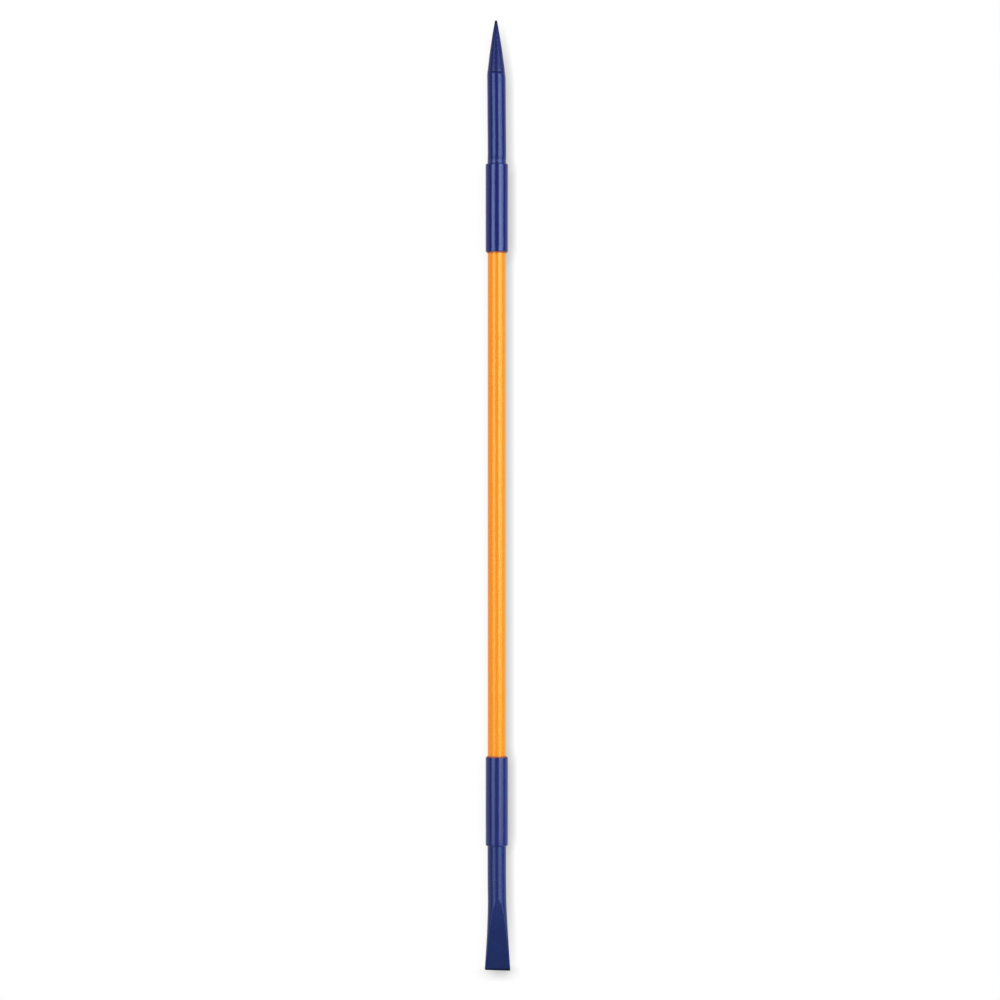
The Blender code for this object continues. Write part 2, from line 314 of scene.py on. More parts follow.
def cone_radius(from_tip, angle):
    """Radius of the ground cone, whose base sits a little to the left of the shank's centre."""
    base = SHANK_RADIUS - CONE_STEP
    share = np.clip((CONE_LENGTH - from_tip) / (CONE_LENGTH - TIP_ROUNDING), 0, 1)
    fall = (1 - CONE_SWELL) * share + CONE_SWELL * share**2
    return base - (base - TIP_RADIUS) * fall + CONE_OFFSET * np.cos(angle) * (1 - share)


def by_side(angle, top, left, right):
    """A size that has its own value on the top and the bottom, on the left and on the right."""
    rightness = np.maximum(np.cos(angle), 0) ** 2
    leftness = np.maximum(-np.cos(angle), 0) ** 2
    return top + (left - top) * leftness + (right - top) * rightness


def run_out_radius(from_ledge, angle):
    """Radius of the shank where it runs out to the ledge: a short step on top, long slopes at the sides."""
    rise = by_side(angle, LEDGE_RISE_TOP, LEDGE_RISE_LEFT, LEDGE_RISE_RIGHT)
    length = by_side(angle, RUN_OUT_TOP, RUN_OUT_LEFT, RUN_OUT_RIGHT)
    drop = SHANK_RADIUS - cone_radius(CONE_LENGTH, angle) - rise
    share = np.clip(1 - (from_ledge - LEDGE_LENGTH) / length, 0, 1)
    return SHANK_RADIUS - drop * share**RUN_OUT_POWER


def point_radius(from_tip, angle):
    """Radius of the point between its tip's rounding and the shank."""
    from_ledge = from_tip - CONE_LENGTH - by_side(angle, LEDGE_BACK, 0, 0)
    share = np.clip(from_ledge / LEDGE_LENGTH, 0, 1)
    ledge = eased(share)
    return cone_radius(from_tip, angle) * (1 - ledge) + run_out_radius(from_ledge, angle) * ledge


def make_point(material):
    """Forged point: hidden end, shank, run-out, ledge, lumpy ground cone and blunt tip."""
    ledge_y = TIP_Y - CONE_LENGTH
    low_ledge_y = ledge_y - LEDGE_LENGTH - LEDGE_BACK
    shank_y = low_ledge_y - RUN_OUT_RIGHT
    sleeve_y = POINT_SLEEVE[1].y
    y = np.concatenate([
        rows_between(POINT_ROOT_Y + END_CHAMFER, sleeve_y - HIDDEN_ROW, HIDDEN_ROW),
        rows_between(sleeve_y, shank_y, SHANK_ROW),
        rows_between(shank_y + RUN_OUT_ROW, low_ledge_y, RUN_OUT_ROW),
        np.linspace(low_ledge_y, ledge_y, LEDGE_ROWS)[1:],
        rows_between(ledge_y + CONE_ROW, TIP_Y - TIP_ROUNDING, CONE_ROW),
    ])
    angle = 2 * math.pi * np.arange(POINT_COLUMNS) / POINT_COLUMNS
    radius = point_radius(TIP_Y - y[:, None], angle[None, :])
    rings = turned_rings(y, radius, POINT_COLUMNS)
    on_cone = np.clip((y - ledge_y) / CONE_ROW, 0, 1)[:, None]
    taper = np.clip((TIP_Y - y) / CONE_TAPER, 0, 1)[:, None]
    rings = uneven(rings, SHANK_WAVES, SHANK_SEED, 1 - on_cone)
    rings = uneven(rings, CONE_WAVES, CONE_SEED, on_cone * taper)
    for ridge_angle in PAINT_RIDGE_ANGLES:
        rings = hump(rings, PAINT_RIDGE_Y, ridge_angle, PAINT_RIDGE_RADIUS, PAINT_RIDGE_HEIGHT)
    turn = np.linspace(0, math.pi / 2, TIP_STEPS + 1)[1:]
    tip_y = TIP_Y - TIP_ROUNDING * (1 - np.sin(turn))
    tip_radius = TIP_FLAT_RADIUS + (TIP_RADIUS - TIP_FLAT_RADIUS) * np.cos(turn)
    chamfer = turned_rings([POINT_ROOT_Y], [SHANK_RADIUS - END_CHAMFER], POINT_COLUMNS)
    rings = np.concatenate([chamfer, rings, turned_rings(tip_y, tip_radius, POINT_COLUMNS)])
    beyond = np.maximum(rings[:, :, 1] - sleeve_y, 0)
    shifted = np.minimum(beyond / ROOT_SHIFT_LENGTH, 1)
    rings[:, :, 0] += ROOT_SHIFT * eased(shifted) + TIP_DRIFT * beyond / (TIP_Y - sleeve_y)
    dress(skin("forged_point", rings), material, "point_end")


# Chisel

def blade_half_thickness(distance):
    """Half thickness at a distance from the start of the flat, without the bevel."""
    slope = math.tan(WEDGE_HALF_ANGLE)
    wedge = EDGE_THICKNESS / 2 + slope * (BLADE_LENGTH - distance)
    start = EDGE_THICKNESS / 2 + slope * BLADE_LENGTH
    left_in_blend = max(0.0, 1 - distance / BLEND_LENGTH)
    return wedge + (SHANK_RADIUS - start) * left_in_blend**2


def bevelled_half_thickness(distance):
    """Half thickness with the bevel that ends in the blunt edge."""
    into_bevel = max(0.0, distance - (BLADE_LENGTH - EDGE_BEVEL)) / EDGE_BEVEL
    whole = blade_half_thickness(min(distance, BLADE_LENGTH - EDGE_BEVEL))
    return whole + (EDGE_LAND / 2 - whole) * into_bevel


def blade_half_width(distance):
    """Half width at a distance from the start of the flat, with the edge's ends rounded in plan."""
    share = min(1.0, distance / (BLADE_LENGTH - EDGE_BEVEL))
    width = SHANK_RADIUS + (BLADE_HALF_WIDTH - SHANK_RADIUS) * share**FLARE_POWER
    into_corner = max(0.0, distance - (BLADE_LENGTH - PLAN_CORNER))
    return width - PLAN_CORNER + math.sqrt(max(0.0, PLAN_CORNER**2 - into_corner**2))


def quarter_section(width, thickness, corner):
    """A quarter of the blade's outline, from its widest place to the middle of its flat, as (x, z) points.

    It is an ellipse cut off by the flat, with a rounded corner between the two.
    """
    a = width - corner
    b = SHANK_RADIUS - corner
    cut = math.asin(min(1.0, (thickness - corner) / b))
    turn = np.linspace(0, cut, SIDE_POINTS)
    across, up = np.cos(turn) / a, np.sin(turn) / b
    length = np.hypot(across, up)
    side_x = a * np.cos(turn) + corner * across / length
    side_z = b * np.sin(turn) + corner * up / length
    side = np.stack([side_x, side_z], 1)
    centre_x, centre_z = a * math.cos(cut), b * math.sin(cut)
    heading = np.linspace(math.atan2(up[-1], across[-1]), math.pi / 2, CORNER_POINTS)
    rounding = np.stack([centre_x + corner * np.cos(heading), centre_z + corner * np.sin(heading)], 1)
    flat_x = np.linspace(centre_x, 0, FLAT_POINTS)
    flat = np.stack([flat_x, np.full(FLAT_POINTS, centre_z + corner)], 1)
    return np.concatenate([side, rounding[1:], flat[1:]])


def evenly_spaced(outline, count):
    """The same number of points, evenly spaced round a closed outline."""
    closed = np.concatenate([outline, outline[:1]])
    steps = np.linalg.norm(np.diff(closed, axis=0), axis=1)
    travelled = np.concatenate([[0], np.cumsum(steps)])
    wanted = travelled[-1] * np.arange(count) / count
    return np.stack([np.interp(wanted, travelled, closed[:, axis]) for axis in (0, 1)], 1)


def blade_section(distance):
    """Outline of the blade at a distance from the start of its flat, as (x, z) points."""
    share = min(1.0, max(0.0, distance / BLADE_LENGTH))
    thickness = bevelled_half_thickness(distance)
    corner = BLADE_CORNER_START + (BLADE_CORNER_END - BLADE_CORNER_START) * share
    corner = min(corner, thickness / 2)
    quarter = quarter_section(blade_half_width(distance), thickness, corner)
    top_left = quarter[::-1] * (-1, 1)
    bottom_left = quarter * (-1, -1)
    bottom_right = quarter[::-1] * (1, -1)
    outline = np.concatenate([quarter[:-1], top_left[:-1], bottom_left[:-1], bottom_right[:-1]])
    return evenly_spaced(outline, BLADE_COLUMNS)


def make_chisel(material):
    """Forged chisel: hidden end, shank, flared and thinned blade, bevel and blunt edge."""
    flat_y = EDGE_Y + BLADE_LENGTH
    sleeve_y = CHISEL_SLEEVE[0].y
    shank_y = np.concatenate([
        rows_between(CHISEL_ROOT_Y - END_CHAMFER, sleeve_y + HIDDEN_ROW, HIDDEN_ROW),
        rows_between(sleeve_y, flat_y + SHANK_ROW, SHANK_ROW),
    ])
    shank = turned_rings(shank_y, np.full(len(shank_y), SHANK_RADIUS), BLADE_COLUMNS)
    distances = np.concatenate([
        rows_between(0, BLADE_LENGTH - EDGE_BEVEL, BLADE_ROW),
        rows_between(BLADE_LENGTH - EDGE_BEVEL + BEVEL_ROW, BLADE_LENGTH, BEVEL_ROW),
    ])
    blade = np.empty((len(distances), BLADE_COLUMNS, 3))
    for row, distance in enumerate(distances):
        outline = blade_section(distance)
        blade[row, :, 0] = outline[:, 0]
        blade[row, :, 1] = flat_y - distance
        blade[row, :, 2] = AXIS_Z + outline[:, 1]
    body = np.concatenate([shank, blade])
    in_bevel = np.clip((EDGE_Y + EDGE_BEVEL - body[:, :, 1]) / EDGE_BEVEL, 0, 1)
    body = uneven(body, BLADE_WAVES, CHISEL_SEED, 1 - in_bevel)
    body[:, :, 1] = np.concatenate([shank_y, flat_y - distances])[:, None]
    chamfer = turned_rings([CHISEL_ROOT_Y], [SHANK_RADIUS - END_CHAMFER], BLADE_COLUMNS)
    rings = np.concatenate([chamfer, body])
    slanted = np.clip((EDGE_Y + EDGE_SLANT_LENGTH - rings[:, :, 1]) / EDGE_SLANT_LENGTH, 0, 1)
    rings[:, :, 1] -= EDGE_SLANT * slanted**2 * (rings[:, :, 0] / BLADE_HALF_WIDTH + 1) / 2
    share = np.clip((flat_y - SET_OVER_START - rings[:, :, 1]) / SET_OVER_LENGTH, 0, 1)
    rings[:, :, 0] += SET_OVER * eased(share)
    dress(skin("forged_chisel", rings), material, "chisel_end")


# Sleeves

def make_sleeve(name, node, ends, shoulder, seed, spots, material):
    """Steel sleeve: bore, rounded outer end that meets the shank, slightly wavy wall and square mouth."""
    outer_y, mouth_y = ends
    inwards = math.copysign(1.0, mouth_y - outer_y)
    turn = np.linspace(0, math.pi / 2, SHOULDER_POINTS)
    shoulder_y = outer_y + inwards * shoulder * (1 - np.cos(turn))
    shoulder_radius = SLEEVE_RADIUS - shoulder * (1 - np.sin(turn))
    wall_start = outer_y + inwards * (shoulder + SLEEVE_ROW)
    wall_y = rows_between(wall_start, mouth_y - inwards * MOUTH_BREAK, SLEEVE_ROW)
    mouth_turn = np.linspace(0, math.pi / 2, MOUTH_BREAK_POINTS)[1:]
    break_y = mouth_y - inwards * MOUTH_BREAK * (1 - np.sin(mouth_turn))
    break_radius = SLEEVE_RADIUS - MOUTH_BREAK * (1 - np.cos(mouth_turn))
    outside_y = np.concatenate([shoulder_y, wall_y, break_y])
    outside_radius = np.concatenate([shoulder_radius, np.full(len(wall_y), SLEEVE_RADIUS), break_radius])
    outside = turned_rings(outside_y, outside_radius, SLEEVE_COLUMNS)
    clear_of_ends = np.minimum(abs(outside_y - outer_y) - shoulder, abs(mouth_y - outside_y) - MOUTH_BREAK)
    amount = np.clip(clear_of_ends / SLEEVE_FADE, 0, 1)[:, None]
    outside = uneven(outside, SLEEVE_WAVES, seed, amount)
    for y, angle, radius, height in spots:
        outside = hump(outside, y, angle, radius, height)
    outside[:, :, 2] = np.maximum(outside[:, :, 2], 0)  # it doesn't dip below the floor
    bore = turned_rings([mouth_y, outer_y], [SLEEVE_BORE, SLEEVE_BORE], SLEEVE_COLUMNS)
    rings = np.concatenate([outside, bore])
    dress(skin(name, rings, looped=True), material, node)


def pin_spots(end):
    """Shallow dimples in the paint over the ends of an end's two cross pins."""
    spots = []
    for pin in ("shank_pin", "core_pin"):
        low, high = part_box(end + "_" + pin)
        for angle in (0.0, math.pi):
            spots.append(((low.y + high.y) / 2, angle, PIN_DIMPLE_RADIUS, -PIN_DIMPLE_DEPTH))
    return spots


def make_sleeves(point_material, chisel_material):
    """The sleeve of the point, with its small sag in the paint, and the sleeve of the chisel."""
    sag = (PAINT_SAG_Y, PAINT_SAG_ANGLE, PAINT_SAG_RADIUS, PAINT_SAG_HEIGHT)
    low, high = POINT_SLEEVE
    spots = pin_spots("point") + [sag]
    ends = (high.y + POINT_SLEEVE_SLIP, low.y + POINT_SLEEVE_SLIP)
    make_sleeve(
        "point_sleeve", "point_ferrule", ends, POINT_SHOULDER, POINT_SLEEVE_SEED, spots, point_material
    )
    low, high = CHISEL_SLEEVE
    spots = pin_spots("chisel")
    ends = (low.y - CHISEL_END_REACH, high.y)
    make_sleeve(
        "chisel_sleeve", "chisel_ferrule", ends, CHISEL_SHOULDER, CHISEL_SLEEVE_SEED, spots, chisel_material
    )


# Rod

def make_sheath(material):
    """Orange cover: a long tube, very slightly uneven along its length."""
    low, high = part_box("shaft_sheath")
    y = rows_between(low.y, high.y, SHEATH_ROW)
    outside = turned_rings(y, np.full(len(y), SHEATH_RADIUS), SHEATH_COLUMNS)
    outside = uneven(outside, SHEATH_WAVES, SHEATH_SEED)
    outside[:, :, 1] = y[:, None]
    bore = turned_rings([high.y, low.y], [SHEATH_BORE, SHEATH_BORE], SHEATH_COLUMNS)
    piece = skin("insulating_cover", np.concatenate([outside, bore]), looped=True)
    dress(piece, material, "shaft_sheath")


def make_bead(name, node, mouth_y, slip, material, seed):
    """Wiped bead of adhesive in the corner between the cover and a sleeve's mouth, a little uneven."""
    low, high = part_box(node)
    thick_y, thin_y = sorted((low.y, high.y), key=lambda y: abs(y - mouth_y))
    thick_y += slip
    thin_y += slip + math.copysign(BEAD_SMEAR, thin_y - thick_y)
    turn = np.linspace(0, math.pi / 2, BEAD_STEPS)
    y = thick_y + (thin_y - thick_y) * np.sin(turn)
    outside = turned_rings(y, BEAD_FOOT + BEAD_CREST * np.cos(turn) ** BEAD_FULLNESS, BEAD_COLUMNS)
    angle = 2 * math.pi * np.arange(BEAD_COLUMNS) / BEAD_COLUMNS
    ripple = []
    for each in angle:
        place = Vector((math.cos(each), math.sin(each), 0)) * SHEATH_RADIUS / BEAD_WAVE
        ripple.append(noise.noise(place + Vector((0, 0, seed))))
    fade = np.cos(turn)[:, None]
    swell = BEAD_UNEVEN * np.array(ripple)[None, :] * fade
    outside[:, :, 0] += np.cos(angle) * swell
    outside[:, :, 2] += np.sin(angle) * swell
    bore = turned_rings([thin_y, thick_y], [BEAD_BORE, BEAD_BORE], BEAD_COLUMNS)
    piece = skin(name, np.concatenate([outside, bore]), looped=True)
    dress(piece, material, node)


# Materials

MIX_A, MIX_B, MIX_COLOUR = 6, 7, 2  # sockets of a Mix node that mixes colours
NOISE_LOW, NOISE_HIGH = 0.3, 0.7  # nearly all of a noise lies between these
SMOOTH, PLAIN, ROUGH, GRITTY = 1.0, 2.0, 3.0, 4.0  # detail of a noise
SOFT, CRISP = 0.5, 0.6  # how strong its finer features are
EVEN = (1.0, 1.0, 1.0)  # no stretch

# Colours, as linear red, green and blue
POINT_BLUE = (0.0115, 0.0155, 0.120)
CONE_BLUE = (0.0100, 0.0125, 0.108)
# pale specks on the cone, partly dust and partly painted glints of its rough surface
CONE_DUST_AND_GLINT = (0.080, 0.095, 0.300)
# lighter blue: a painted highlight on the thick paint by the point's sleeve
RIDGE_SHEEN_BLUE = (0.050, 0.065, 0.230)
SLEEVE_BLUE = (0.0125, 0.0160, 0.134)
CHISEL_SLEEVE_BLUE = (0.0135, 0.0230, 0.146)
CHISEL_BLUE = (0.0115, 0.0235, 0.122)
BLADE_BLUE = (0.0035, 0.0145, 0.090)
EDGE_BLUE = (0.0045, 0.0135, 0.078)
# darkest blue: painted shade in the ledge and on the bevel, and the darker tip
DARKEST_BLUE = (0.0060, 0.0110, 0.034)
ORANGE = (0.875, 0.296, 0.0150)
ADHESIVE = (0.30, 0.045, 0.018)
RESIN = (0.62, 0.55, 0.33)
STEEL = (0.56, 0.57, 0.58)

# Tints that a colour is multiplied by, in the lows and in the highs of a noise
ENAMEL_SHIFT = ((1.08, 0.85, 0.96), (0.92, 1.25, 1.04))
COVER_STREAKS = ((1.0, 0.985, 0.96), (1.0, 1.015, 1.04))
ADHESIVE_SPOTS = ((0.6, 0.6, 0.7), (1.5, 1.4, 1.3))
RESIN_STRANDS = ((0.8, 0.75, 0.6), (1.15, 1.15, 1.2))
STEEL_SCRATCHES = ((0.85, 0.85, 0.85), (1.1, 1.1, 1.1))

# Second tints, and the largest share that they take
MOTTLE_TINT = (1.5, 1.3, 1.25)
MOTTLE_SHARE = 0.16
COVER_SHIFT_TINT = (1.0, 1.05, 1.12)
COVER_SHIFT_SHARE = 0.5

# Largest shares of the pale specks (dust and painted glints), painted shade in the ledge, painted highlight
# on the thick paint, and scuffs
DUST_AND_GLINT_SHARE = 0.7
DUST_AND_GLINT_NOISE = (0.56, 0.74)  # where the pale specks start, and where they are full
LEDGE_SHADE_SHARE = 0.6
RIDGE_SHEEN_SHARES = (0.2, 0.8)
SCUFF_SHARE = 0.12

# Gloss: how strongly each finish reflects, and in what colour
ENAMEL_IOR = 1.40
ADHESIVE_IOR = 1.5
RESIN_IOR = 1.55
POINT_TINT = (0.38, 0.55, 1.0)
SLEEVE_TINT = (0.44, 0.60, 1.0)
CHISEL_SLEEVE_TINT = (0.58, 0.67, 1.0)
CHISEL_TINT = (0.42, 0.54, 1.0)
COVER_TINT = (1.0, 0.68, 0.34)

# Roughness. Where there are two values, they are in the lows and in the highs of a noise
POINT_ROUGHNESS = 0.23
SLEEVE_ROUGHNESS = 0.19
CHISEL_ROUGHNESS = 0.26
ENAMEL_HAZE = (-0.01, 0.02)  # added to an enamel's roughness
CONE_DULLNESS = 0.08  # added on the ground cone
COVER_ROUGHNESS = (0.21, 0.23)
ADHESIVE_ROUGHNESS = (0.35, 0.6)
RESIN_ROUGHNESS = (0.5, 0.32)
STEEL_ROUGHNESS = (0.25, 0.42)

# Sizes of the noises
SHIFT_GRAIN = 28 * MM
MOTTLE_GRAIN = 2.4 * MM
HAZE_GRAIN = 12 * MM
PEEL_GRAIN = 2.6 * MM
FINE_PEEL_GRAIN = 0.9 * MM
DUST_AND_GLINT_GRAIN = 2.0 * MM
LEDGE_SHADE_GRAIN = 4.0 * MM
RIDGE_SHEEN_GRAIN = 5.0 * MM
GRIT_GRAIN = 1.6 * MM
SCUFF_GRAIN = 3.2 * MM
SCALE_GRAIN = 5.0 * MM
STREAK_GRAIN = 3.0 * MM
COVER_SHIFT_GRAIN = 60 * MM
COVER_HAZE_GRAIN = 14 * MM
COVER_WAVE_GRAIN = 8 * MM
COVER_PEEL_GRAIN = 2.0 * MM
SPOT_GRAIN = 1.4 * MM
ADHESIVE_HAZE_GRAIN = 2 * MM
PIT_GRAIN = 0.8 * MM
STRAND_GRAIN = 0.5 * MM
SCRATCH_GRAIN = 0.3 * MM

# Stretches of the noises: below 1, the features get longer along that axis
STREAK_STRETCH = (1.0, 0.02, 1.0)
COVER_STRETCH = (1.0, 0.1, 1.0)
STRAND_STRETCH = (1.0, 0.01, 1.0)
SCRATCH_STRETCH = (0.03, 1.0, 1.0)

# Heights of the bumps
POINT_PEEL = 0.0025 * MM
SLEEVE_PEEL = 0.008 * MM
CHISEL_PEEL = 0.002 * MM
FINE_PEEL_SHARE = 0.1  # of an enamel's peel
GRIT_HEIGHT = 0.09 * MM
SCALE_HEIGHT = 0.004 * MM
COVER_WAVE_HEIGHT = 0.0015 * MM
COVER_PEEL_HEIGHT = 0.0006 * MM
PIT_HEIGHT = 0.06 * MM
STRAND_HEIGHT = 0.03 * MM
SCRATCH_HEIGHT = 0.01 * MM


def add_node(tree, kind, inputs=None, **settings):
    """A new node. Each input is a value, or the output of another node to link."""
    made = tree.nodes.new(kind)
    for key, value in settings.items():
        setattr(made, key, value)
    for key, value in (inputs or {}).items():
        if isinstance(value, bpy.types.NodeSocket):
            tree.links.new(value, made.inputs[key])
        else:
            made.inputs[key].default_value = value
    return made


def new_material(name, colour, **surface):
    """A material with its shader's constant inputs set. Returns the material, its tree and the shader."""
    material = bpy.data.materials.new(name)
    material.use_nodes = True
    tree = material.node_tree
    shader = tree.nodes["Principled BSDF"]
    shader.inputs["Base Color"].default_value = (*colour, 1.0)
    for key, value in surface.items():
        shader.inputs[key.replace("_", " ")].default_value = value
    return material, tree, shader


def finish(tree, shader, tone, rough, normal):
    """Links a surface's colour, roughness and normal to its shader."""
    for socket, value in (("Base Color", tone), ("Roughness", rough), ("Normal", normal)):
        tree.links.new(value, shader.inputs[socket])


def place_in(tree, stretch=EVEN):
    """The surface's own coordinates in metres, multiplied by a factor along each axis."""
    inputs = {"Vector": add_node(tree, "ShaderNodeTexCoord").outputs["Object"], "Scale": stretch}
    return add_node(tree, "ShaderNodeMapping", inputs).outputs["Vector"]


def grain(tree, size, detail=PLAIN, roughness=SOFT, stretch=EVEN):
    """Noise with features of a size in metres."""
    inputs = {
        "Vector": place_in(tree, stretch),
        "Scale": 1.0 / size,
        "Detail": detail,
        "Roughness": roughness,
    }
    return add_node(tree, "ShaderNodeTexNoise", inputs).outputs["Fac"]


def ranged(tree, value, low, high, start=NOISE_LOW, end=NOISE_HIGH):
    """Carries a value from start..end to low..high."""
    inputs = {"Value": value, "From Min": start, "From Max": end, "To Min": low, "To Max": high}
    return add_node(tree, "ShaderNodeMapRange", inputs).outputs["Result"]


def one_less(tree, value):
    """One less a value that lies between 0 and 1."""
    return ranged(tree, value, 1.0, 0.0, 0.0, 1.0)


def product(tree, first, second):
    """Two values multiplied."""
    return add_node(tree, "ShaderNodeMath", {0: first, 1: second}, operation="MULTIPLY").outputs["Value"]


def total(tree, first, second):
    """Two values added."""
    return add_node(tree, "ShaderNodeMath", {0: first, 1: second}, operation="ADD").outputs["Value"]


def blended(tree, factor, first, second):
    """A colour between two others. Each is three numbers or another node's output."""
    inputs = {"Factor": factor}
    for socket, colour in ((MIX_A, first), (MIX_B, second)):
        inputs[socket] = colour if isinstance(colour, bpy.types.NodeSocket) else (*colour, 1.0)
    return add_node(tree, "ShaderNodeMix", inputs, data_type="RGBA").outputs[MIX_COLOUR]


def bumped(tree, height, distance, under=None):
    """Bump of a height field over a distance in metres, on top of another bump."""
    inputs = {"Height": height, "Distance": distance}
    if under is not None:
        inputs["Normal"] = under
    return add_node(tree, "ShaderNodeBump", inputs).outputs["Normal"]


def tinted(colour, factors):
    """A colour with each part multiplied by its own factor."""
    return tuple(part * factor for part, factor in zip(colour, factors))


def between_tints(tree, factor, colour, tints):
    """A colour that changes from its first tint to its second."""
    low, high = tints
    return blended(tree, factor, tinted(colour, low), tinted(colour, high))


def along_bar(tree, start_y, end_y):
    """0 before start_y and 1 beyond end_y, along the bar."""
    split = add_node(tree, "ShaderNodeSeparateXYZ", {"Vector": place_in(tree)})
    return ranged(tree, split.outputs["Y"], 0.0, 1.0, start_y, end_y)


def band(tree, middle_y, half_length):
    """1 at a place along the bar, falling to 0 at a distance from it."""
    rise = along_bar(tree, middle_y - half_length, middle_y)
    fall = along_bar(tree, middle_y + half_length, middle_y)
    return product(tree, rise, fall)


def enamel(name, colour, tint, roughness, peel):
    """Blue enamel over steel: slow shifts of tone, fine mottling and orange peel.

    Returns the material, its tree and shader, and its colour, roughness and normal, still to be linked.
    """
    material, tree, shader = new_material(name, colour, Specular_Tint=(*tint, 1.0), IOR=ENAMEL_IOR)
    tone = between_tints(tree, ranged(tree, grain(tree, SHIFT_GRAIN), 0.0, 1.0), colour, ENAMEL_SHIFT)
    mottle = ranged(tree, grain(tree, MOTTLE_GRAIN), 0.0, MOTTLE_SHARE)
    tone = blended(tree, mottle, tone, tinted(colour, MOTTLE_TINT))
    smoothest, dullest = (roughness + part for part in ENAMEL_HAZE)
    rough = ranged(tree, grain(tree, HAZE_GRAIN), smoothest, dullest)
    normal = bumped(tree, grain(tree, PEEL_GRAIN, SMOOTH), peel)
    normal = bumped(tree, grain(tree, FINE_PEEL_GRAIN, SMOOTH), peel * FINE_PEEL_SHARE, normal)
    return material, tree, shader, tone, rough, normal


def sleeve_enamel(name, colour, tint):
    """Smooth, glossy enamel of the sleeves."""
    material, tree, shader, tone, rough, normal = enamel(name, colour, tint, SLEEVE_ROUGHNESS, SLEEVE_PEEL)
    finish(tree, shader, tone, rough, normal)
    return material


def point_enamel():
    """Enamel of the point: duller than the sleeves, gritty on the ground cone with pale specks of dust and
    painted glints, painted shade in the ledge, a painted highlight on the thick paint by the sleeve, and
    darker towards the tip.
    """
    material, tree, shader, tone, rough, normal = enamel(
        "point_enamel", POINT_BLUE, POINT_TINT, POINT_ROUGHNESS, POINT_PEEL
    )
    ledge_y = TIP_Y - CONE_LENGTH - LEDGE_BACK
    on_cone = along_bar(tree, ledge_y - LEDGE_LENGTH, ledge_y)
    tone = blended(tree, on_cone, tone, CONE_BLUE)
    # pale specks on the ground cone: partly dust, partly painted glints of its rough surface
    dust_and_glint = ranged(tree, grain(tree, DUST_AND_GLINT_GRAIN, GRITTY, CRISP), 0.0, DUST_AND_GLINT_SHARE, *DUST_AND_GLINT_NOISE)
    tone = blended(tree, product(tree, dust_and_glint, on_cone), tone, CONE_DUST_AND_GLINT)
    # painted shade in the crease of the ledge, made patchy
    ledge_shade = ranged(tree, grain(tree, LEDGE_SHADE_GRAIN), 0.0, LEDGE_SHADE_SHARE)
    in_ledge = product(tree, band(tree, ledge_y, LEDGE_SHADE_REACH), ledge_shade)
    tone = blended(tree, in_ledge, tone, DARKEST_BLUE)
    # painted highlight: a lighter blue on the thick paint by the sleeve, where the stripes of light widen
    ridge_sheen = ranged(tree, grain(tree, RIDGE_SHEEN_GRAIN), *RIDGE_SHEEN_SHARES)
    at_sleeve = band(tree, PAINT_RIDGE_Y - PAINT_RIDGE_RADIUS / 2, PAINT_RIDGE_RADIUS)
    tone = blended(tree, product(tree, at_sleeve, ridge_sheen), tone, RIDGE_SHEEN_BLUE)
    # darker towards the tip
    tone = blended(tree, along_bar(tree, TIP_Y - TIP_DARK_LENGTH, TIP_Y - TIP_DARK_FULL), tone, DARKEST_BLUE)
    rough = total(tree, product(tree, on_cone, CONE_DULLNESS), rough)
    grit = product(tree, grain(tree, GRIT_GRAIN, ROUGH), on_cone)
    finish(tree, shader, tone, rough, bumped(tree, grit, GRIT_HEIGHT, normal))
    return material


def chisel_enamel():
    """Enamel of the chisel: dull, darker towards the edge, with painted shade on the bevel and faint scale
    from the forge under it.
    """
    material, tree, shader, tone, rough, normal = enamel(
        "chisel_enamel", CHISEL_BLUE, CHISEL_TINT, CHISEL_ROUGHNESS, CHISEL_PEEL
    )
    flat_y = EDGE_Y + BLADE_LENGTH
    tone = blended(tree, along_bar(tree, flat_y, flat_y - BLEND_LENGTH), tone, BLADE_BLUE)
    # darker towards the edge
    tone = blended(tree, along_bar(tree, EDGE_Y + EDGE_DARK_LENGTH, EDGE_Y + EDGE_BEVEL), tone, EDGE_BLUE)
    scuffs = ranged(tree, grain(tree, SCUFF_GRAIN), 0.0, SCUFF_SHARE)
    tone = blended(tree, scuffs, tone, CHISEL_BLUE)
    # painted shade on the bevel, which faces away from the light
    tone = blended(tree, along_bar(tree, EDGE_Y + EDGE_BEVEL, EDGE_Y + EDGE_BEVEL / 2), tone, DARKEST_BLUE)
    scale = grain(tree, SCALE_GRAIN, ROUGH)
    finish(tree, shader, tone, rough, bumped(tree, scale, SCALE_HEIGHT, normal))
    return material


def cover_plastic():
    """Glossy orange cover with faint streaks along its length."""
    material, tree, shader = new_material(
        "cover_plastic", ORANGE, Specular_Tint=(*COVER_TINT, 1.0), IOR=ENAMEL_IOR
    )
    streaks = ranged(tree, grain(tree, STREAK_GRAIN, stretch=STREAK_STRETCH), 0.0, 1.0)
    tone = between_tints(tree, streaks, ORANGE, COVER_STREAKS)
    slow = ranged(tree, grain(tree, COVER_SHIFT_GRAIN), 0.0, COVER_SHIFT_SHARE)
    tone = blended(tree, slow, tone, tinted(ORANGE, COVER_SHIFT_TINT))
    rough = ranged(tree, grain(tree, COVER_HAZE_GRAIN, stretch=COVER_STRETCH), *COVER_ROUGHNESS)
    waves = grain(tree, COVER_WAVE_GRAIN, SMOOTH, stretch=COVER_STRETCH)
    normal = bumped(tree, waves, COVER_WAVE_HEIGHT)
    normal = bumped(tree, grain(tree, COVER_PEEL_GRAIN, SMOOTH), COVER_PEEL_HEIGHT, normal)
    finish(tree, shader, tone, rough, normal)
    return material


